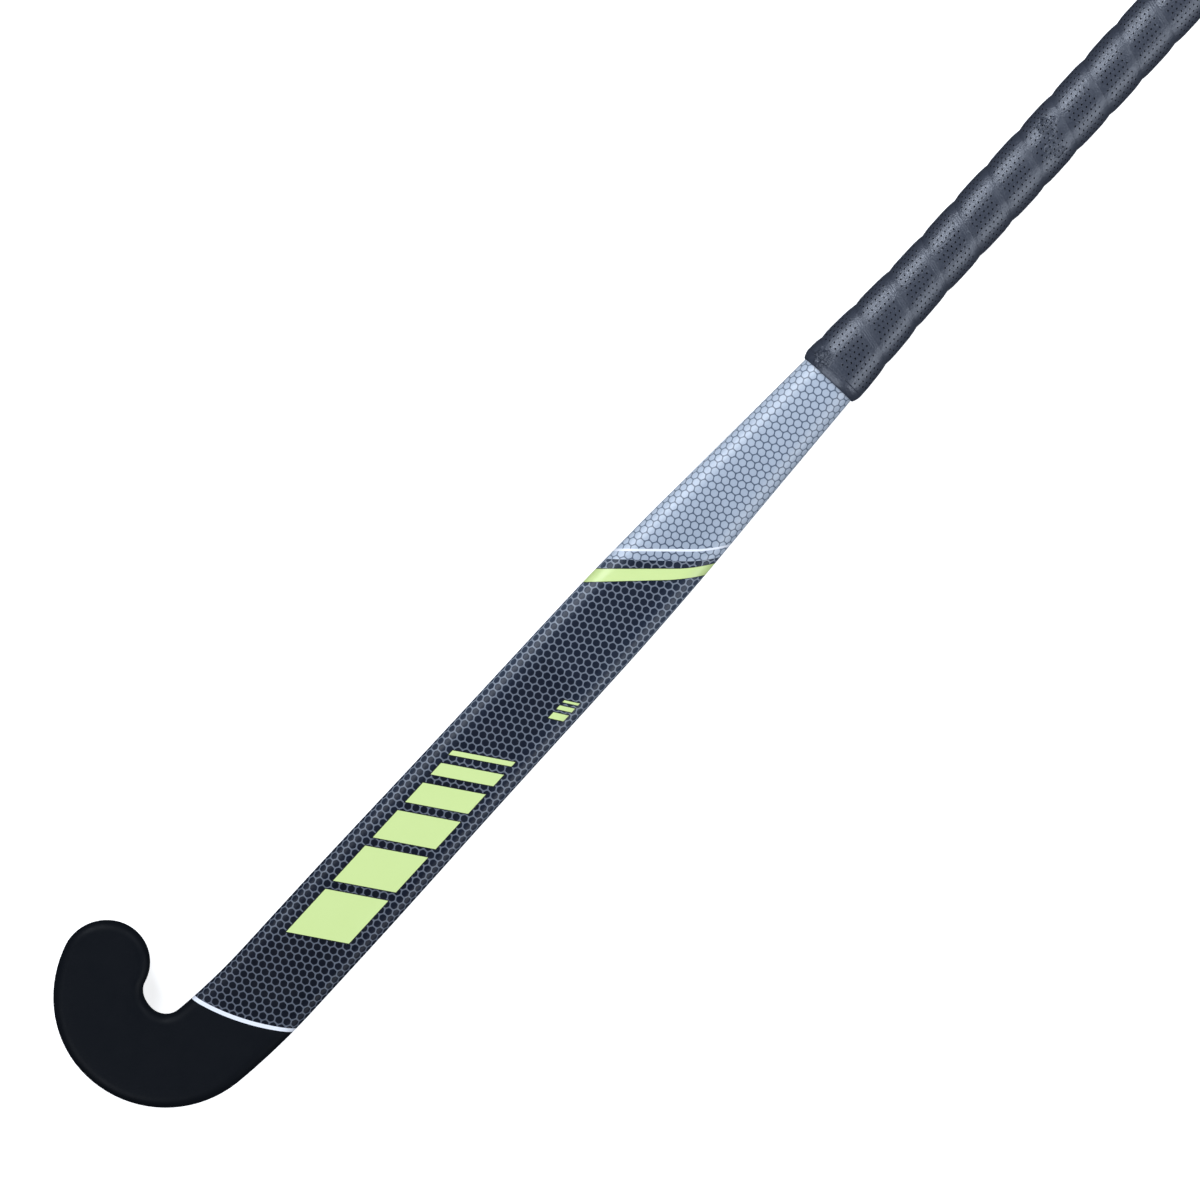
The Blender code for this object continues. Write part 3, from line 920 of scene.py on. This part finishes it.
def build_shell():
    """Whole outer laminate: printed shaft, black head, bare handle, and the wall's inner skin."""
    bm = bmesh.new()
    known = {}
    printed_sheet(bm, known)
    inner_skin(bm, outer_skin(bm, known))
    bmesh.ops.recalc_face_normals(bm, faces=bm.faces)
    bm.verts.index_update()
    normals = np.full((len(bm.verts), 3), np.nan, np.float32)
    for v, (normal, _, _, _) in known.items():
        if v.is_valid:
            normals[v.index] = normal
    return new_piece("stick_shell_skin", bm, shell_inks(), normals)


# -------------------- grip

COLUMNS_PER_TURN = 36
HOLE_GAP = 0.00295
HOLE_ROWS = 6
HOLE_START = 0.0046
HOLE_RADIUS = 0.00048
HOLE_DEPTH = 0.0009
# Corners of a perforation in its radius, along the winding and across it
HOLE_SPOTS = ((-0.5, -0.87), (-1, 0), (-0.5, 0.87), (0.5, 0.87), (1, 0), (0.5, -0.87))
TAPE_RADIUS = 0.0142
TAPE_CIRCLE = 2 * math.pi * TAPE_RADIUS
# Lifts of the tape's top and of its underside over the bed, at places across the strip
PILLOW_ACROSS = (
    0.0, 0.0010, 0.0020, 0.0030, 0.0040, 0.0055, 0.0075, 0.0100, 0.0140, 0.0190, 0.0215, 0.0235,
    0.0250, 0.0265, 0.0275,
)
PILLOW_LIFT = 0.001 * np.array(
    (0.30, 0.45, 0.60, 0.76, 0.96, 1.22, 1.42, 1.53, 1.58, 1.58, 1.53, 1.42, 1.26, 1.07, 0.90)
)
BED_ACROSS = (0.0, 0.0236, 0.0243, 0.0255, 0.0265, 0.0275)
BED_LIFT = 0.001 * np.array((0.0, 0.0, 0.40, 0.54, 0.68, 0.84))
# Unevenness of the pillow, and fine folds along its upper edge
RIPPLE = 0.0001
FOLD_LOW = 0.0215
FOLD_HIGH = 0.0268
FOLD_GAP = 0.00125
# Collar: steps along from its edge, and shares of its wall at which the surface stands there
COLLAR_TOP = 1.43
COLLAR_PROFILE = (
    (0.0, 0.10), (0.0001, 0.28), (0.0004, 0.46), (0.0009, 0.64), (0.0016, 0.84), (0.0024, 1.04),
    (0.0032, 1.22), (0.0040, 1.34), (0.0048, 1.41), (0.0054, COLLAR_TOP), (0.0053, 1.37), (0.0050, 1.27),
    (0.0046, 1.10), (0.0046, 0.0), (0.0022, 0.0), (0.0, 0.0),
)
COLLAR_SIDES = 96
# The tape starts flush with the collar, which hangs over it by the lip. Where the strip passes over
# its own start, almost a turn on, it is tucked under a little
LIP = 0.0006
START_DROP = 0.0006
START_BLEND = 0.0055
START_TUCK = 0.00008
TUCK_TURN = 0.99
COLLAR_LIFT = CLEARANCE + COLLAR_TOP * BAND_WALL - TAPE_LIFT

TAPE_START = BAND_END + CLEARANCE
TAPE_END = SHELL_END - CLEARANCE
TAPE_WELD = 2e-6
FIRST_TURN = -(TAPE_WIDTH - TAPE_CUT_WIDTH) / TAPE_PITCH
TURNS = (TAPE_END - TAPE_CUT_WIDTH - TAPE_START) / TAPE_PITCH - FIRST_TURN
# Places across the strip at which its mesh has rows
EDGE_ROWS = [0.0, 0.0020, 0.0028, 0.0034, 0.0040]
HOLE_PLACES = [HOLE_START + HOLE_GAP / 2 * i for i in range(2 * HOLE_ROWS + 2)]
FOLD_ROWS = list(np.linspace(HOLE_PLACES[-1], 0.0266, 9))[1:]
TOP_ROWS = EDGE_ROWS + HOLE_PLACES + FOLD_ROWS + [0.0269, 0.0272, 0.0274, TAPE_WIDTH]
UNDER_ROWS = [TAPE_WIDTH, 0.0243, 0.0237, 0.0120, 0.0]


def sway(turn, seed):
    """Slow irregular wave along the tape, within about one either way."""
    return (
        0.5 * math.sin(3.1 * turn + seed)
        + 0.3 * math.sin(7.3 * turn + 1.7 * seed)
        + 0.2 * math.sin(17.9 * turn + 0.6 * seed)
    )


def handle_point(along, share, lift):
    """Point above the handle, a share of the way round it from the face's middle."""
    side = 1 if share <= 0.5 else -1
    angle = 2 * math.pi * min(share, 1.0 - share)
    reach, height = section_point(along, angle, -lift)
    return place(along, side * reach, height)


def tape_point(turn, across, lift):
    """Point above the tape's bed at a turn of the winding and a place across the strip."""
    along = TAPE_START + turn * TAPE_PITCH + across
    return handle_point(along, (turn + TAPE_PHASE) % 1.0, TAPE_LIFT + lift)


def tape_limits(turn):
    """Lowest and highest place across the strip between the collar and the cap."""
    base = TAPE_START + turn * TAPE_PITCH
    return max(0.0, TAPE_START - base), min(TAPE_WIDTH, TAPE_END - base)


def clipped(turn, across):
    lowest, highest = tape_limits(turn)
    if across > 0 and lowest > 0:
        lowest += LIP
    return min(max(across, lowest), highest)


def top_lift(turn, across):
    """Lift of the tape's top: a pillow, a little uneven, that starts flush with the collar."""
    lift = np.interp(across, PILLOW_ACROSS, PILLOW_LIFT)
    if FOLD_LOW < across < FOLD_HIGH:
        fold = math.sin((across - FOLD_LOW) / FOLD_GAP * 2 * math.pi)
        lift += RIPPLE * fold * max(0.0, 0.45 + sway(2.2 * turn, 1.3))
    lift += RIPPLE * sway(2.9 * turn, 90 * across)
    from_collar = max(0.0, turn * TAPE_PITCH + across)
    flush = COLLAR_LIFT - START_DROP * max(0.0, 1.0 - from_collar / LIP)
    if FIRST_TURN + TUCK_TURN < turn < 0.0:
        flush -= START_TUCK
    share = min(1.0, max(0.0, (from_collar - LIP) / START_BLEND))
    share = share * share * (3 - 2 * share)
    return flush + (lift - flush) * share


def tape_column(bm, turn):
    """Vertices up the strip's top and down its underside, at one turn."""
    top = []
    for across in TOP_ROWS:
        at = clipped(turn, across)
        top.append(bm.verts.new(tape_point(turn, at, top_lift(turn, at))))
    under = []
    for across in UNDER_ROWS:
        at = clipped(turn, across)
        under.append(bm.verts.new(tape_point(turn, at, np.interp(at, BED_ACROSS, BED_LIFT))))
    return top, under


def perforate(bm, ring, turn, across):
    """Six-sided hole inside a ring of six vertices, its middle sunk and given the hole's painted shade."""
    hole = []
    for x, y in HOLE_SPOTS:
        at = turn + HOLE_RADIUS * x / TAPE_CIRCLE
        up = across + HOLE_RADIUS * y
        hole.append(bm.verts.new(tape_point(at, up, top_lift(at, up))))
    hub = bm.verts.new(tape_point(turn, across, top_lift(turn, across) - HOLE_DEPTH))
    for i in range(len(ring)):
        k = (i + 1) % len(ring)
        bm.faces.new((ring[i], ring[k], hole[k], hole[i]))
        bm.faces.new((hole[i], hole[k], hub)).material_index = 1


def tape_top(bm, step, turns, top, next_top):
    """Top between two columns, with the perforations that are clear of the collar and the cap."""
    lows, highs = zip(*(tape_limits(turn) for turn in turns))
    first = len(EDGE_ROWS) + step % 2
    row = 0
    while row < len(TOP_ROWS) - 1:
        in_holes = first <= row < first + 2 * HOLE_ROWS and (row - first) % 2 == 0
        if in_holes and max(lows) + LIP < TOP_ROWS[row] and min(highs) > TOP_ROWS[row + 2]:
            ring = top[row : row + 3] + next_top[row : row + 3][::-1]
            perforate(bm, ring, turns[0] + 0.5 / COLUMNS_PER_TURN, TOP_ROWS[row + 1])
            row += 2
        else:
            bm.faces.new((top[row], top[row + 1], next_top[row + 1], next_top[row]))
            row += 1


def build_tape():
    """One strip of perforated tape wound up the handle, each turn over the next one's lower edge."""
    bm = bmesh.new()
    turns = [FIRST_TURN + step / COLUMNS_PER_TURN for step in range(int(TURNS * COLUMNS_PER_TURN) + 1)]
    columns = [tape_column(bm, turn) for turn in turns]
    for step in range(len(turns) - 1):
        (top, under), (next_top, next_under) = columns[step : step + 2]
        tape_top(bm, step, turns[step : step + 2], top, next_top)
        below = [top[-1]] + under + [top[0]]
        next_below = [next_top[-1]] + next_under + [next_top[0]]
        join_loops(bm, below, next_below, closed=False)
    for top, under in (columns[0], columns[-1]):
        bm.faces.new(top + under)
    bmesh.ops.remove_doubles(bm, verts=bm.verts, dist=TAPE_WELD)
    bmesh.ops.recalc_face_normals(bm, faces=bm.faces)
    for edge in bm.edges:
        if len({face.material_index for face in edge.link_faces}) == 2:
            edge.smooth = False
    return new_piece("grip_tape_strip", bm, [grip_skin(), grip_hole_painted_shade()])


def collar_ring(bm, step, share):
    """One ring of the collar, a little uneven but for its very edge."""
    points = []
    for i in range(COLLAR_SIDES):
        turn = i / COLLAR_SIDES
        wall = BAND_WALL * share * (1 + 0.05 * sway(6.28 * turn, 2.0) * min(1.0, step / 0.001))
        points.append(handle_point(BAND_START + step, turn, CLEARANCE + wall))
    return add_ring(bm, points)


def build_band():
    """Rolled collar at the lower end of the grip."""
    bm = bmesh.new()
    rings = [collar_ring(bm, step, share) for step, share in COLLAR_PROFILE]
    join_rings(bm, rings + rings[:1], 0)
    bmesh.ops.recalc_face_normals(bm, faces=bm.faces)
    return new_piece("finishing_band_rolled", bm, [grip_skin("band_skin")])


CAP_BORE = HANDLE_RADIUS + CLEARANCE
CAP_SEAT = SHELL_END + CLEARANCE
CAP_SKIRT_END = SHELL_END - CAP_SKIRT_LENGTH
CAP_SIDES = 64
# Domed end: radii and depths below the stick's end, over the rounded rim, the groove and the pip
CAP_DOME = (
    (CAP_RADIUS, 0.0011), (CAP_RADIUS - 0.0003, 0.0006), (CAP_RADIUS - 0.0009, 0.0003),
    (CAP_RADIUS - 0.0022, 0.0001), (0.0106, 0.0001), (0.0103, 0.0005), (0.0093, 0.0005),
    (0.0090, 0.0001), (0.0040, 0.0), (0.0024, 0.0004), (0.0016, 0.0002),
)


def build_cap():
    """Rubber cap: thin skirt under the tape, domed end with a grooved ring and a centre pip."""
    bm = bmesh.new()
    profile = [(CAP_BORE, CAP_SEAT), (CAP_BORE, CAP_SKIRT_END)]
    profile += [(CAP_BORE + UNDERLAY_WALL, CAP_SKIRT_END), (CAP_BORE + UNDERLAY_WALL, CAP_SEAT)]
    profile += [(CAP_RADIUS - 0.0004, CAP_SEAT), (CAP_RADIUS, CAP_SEAT + 0.0003)]
    profile += [(radius, STICK_LENGTH - depth) for radius, depth in CAP_DOME]
    angle = np.arange(CAP_SIDES) * 2 * math.pi / CAP_SIDES
    loops = []
    for radius, along in profile:
        height = radius * np.cos(angle) - HANDLE_RADIUS
        points = place(np.full(CAP_SIDES, along), radius * np.sin(angle), height)
        loops.append(add_ring(bm, points))
    join_rings(bm, loops, 0)
    bm.faces.new(loops[0])
    bm.faces.new(loops[-1])
    bmesh.ops.recalc_face_normals(bm, faces=bm.faces)
    made = new_piece("butt_cap_domed", bm, [cap_rubber()])
    made.data.set_sharp_from_angle(angle=math.radians(50))
    return made


def dress(node, material):
    """Give a CAD node that stays in the scene its finish."""
    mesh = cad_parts[node].data
    if not mesh.materials:
        mesh.materials.append(material)
    for i in range(len(mesh.materials)):
        mesh.materials[i] = material


# -------------------- studio

DAYLIGHT = (0.88, 0.93, 1.0)
WORLD_COLOUR = (0.9, 0.95, 1.0, 1.0)
WORLD_STRENGTH = 0.04
FLOOR_SIZE = 4.0
FLOOR_DROP = 0.0002
FLOOR_GLOW = 0.7
# Soft lights: side they stand on in plan, tilt from straight up, distance, size, power and aim
SOFTBOXES = {
    "key_toe_side": ((0, 1), 51, 1.6, (0.92, 1.0), 23.6, (0.19, -0.02, 0.0)),
    "fill_heel_side": ((0, -1), 66, 1.6, (1.5, 1.0), 17.5, (0.30, -0.02, 0.0)),
    "end_butt": ((1, 0), 48, 2.0, (1.2, 1.2), 18.2, (-0.05, -0.02, 0.0)),
    "end_toe": ((-1, 0), 48, 2.0, (1.2, 1.2), 18.2, (-0.05, -0.02, 0.0)),
}


def softbox(name, side, tilt, distance, size, power, aim):
    light = bpy.data.lights.new(name, "AREA")
    light.shape = "RECTANGLE"
    light.size, light.size_y = size
    light.energy = power
    light.color = DAYLIGHT
    made = bpy.data.objects.new(name, light)
    bpy.context.scene.collection.objects.link(made)
    lean = math.sin(math.radians(tilt))
    away = Vector((side[0] * lean, side[1] * lean, math.cos(math.radians(tilt)))).normalized()
    made.location = Vector(aim) + away * distance
    made.rotation_euler = away.to_track_quat("Z", "Y").to_euler()


def build_floor():
    """White floor just under the stick, which glows a little and isn't seen in reflections."""
    bm = bmesh.new()
    bmesh.ops.create_grid(bm, x_segments=2, y_segments=2, size=FLOOR_SIZE)
    recipe = Recipe("floor_white", (0.86, 0.865, 0.87, 1.0), 0.9, 0.0)
    recipe.shader.inputs["Emission Color"].default_value = (1.0, 1.0, 1.0, 1.0)
    recipe.shader.inputs["Emission Strength"].default_value = FLOOR_GLOW
    floor = new_piece("studio_floor", bm, [recipe.material])
    floor.location.z = -FLOOR_DROP
    floor.visible_glossy = False
    floor.visible_diffuse = False


def build_studio():
    build_floor()
    world = bpy.data.worlds.new("studio")
    world.use_nodes = True
    background = world.node_tree.nodes["Background"]
    background.inputs["Color"].default_value = WORLD_COLOUR
    background.inputs["Strength"].default_value = WORLD_STRENGTH
    bpy.context.scene.world = world
    for name, settings in SOFTBOXES.items():
        softbox(name, *settings)
    bpy.context.scene.view_settings.view_transform = "Standard"


# Camera straight above: the place it looks at, the width it sees there and its turn in plan
VIEW_MIDDLE = (-0.1027, -0.0248, 0.021)
VIEW_WIDTH = 0.619
VIEW_TURN = math.radians(-47.456)


def build_camera():
    data = bpy.data.cameras.new("camera")
    data.lens = 135
    data.sensor_width = 36
    data.clip_end = 20
    camera = bpy.data.objects.new("camera", data)
    bpy.context.scene.collection.objects.link(camera)
    distance = VIEW_WIDTH / 2 / (data.sensor_width / 2 / data.lens)
    across, up, height = VIEW_MIDDLE
    camera.location = (across, up, height + distance)
    camera.rotation_euler = (0.0, 0.0, VIEW_TURN)
    bpy.context.scene.camera = camera


shell = build_shell()
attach(shell, "root")
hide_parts("stick_shell")
tape = build_tape()
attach(tape, "root")
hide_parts("grip_tape")
band = build_band()
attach(band, "root")
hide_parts("finishing_band")
cap = build_cap()
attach(cap, "root")
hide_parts("butt_cap")

CARBON = (linear(34, 35, 38), linear(64, 66, 70))
CARBON_FLAT = (linear(26, 27, 30), linear(56, 58, 62))
dress("head_aramid_sleeve", woven("aramid_weave", linear(196, 160, 60), linear(222, 190, 96), 0.0016, 0.55))
dress("head_foam_core", foamy("core_foam", linear(226, 214, 178), linear(240, 232, 206), 700.0))
dress("left_inner_tube", woven("carbon_weave_left", *CARBON, 0.0018, 0.4))
dress("right_inner_tube", woven("carbon_weave_right", *CARBON, 0.0018, 0.4))
dress("face_stiffener", strands("carbon_strands_face", *CARBON_FLAT))
dress("back_stiffener", strands("carbon_strands_back", *CARBON_FLAT))
dress("handle_plug", foamy("plug_foam", linear(200, 190, 165), linear(222, 214, 192), 900.0))
dress("grip_underlay", cushion_wrap())

build_studio()
build_camera()

bpy.context.view_layer.update()
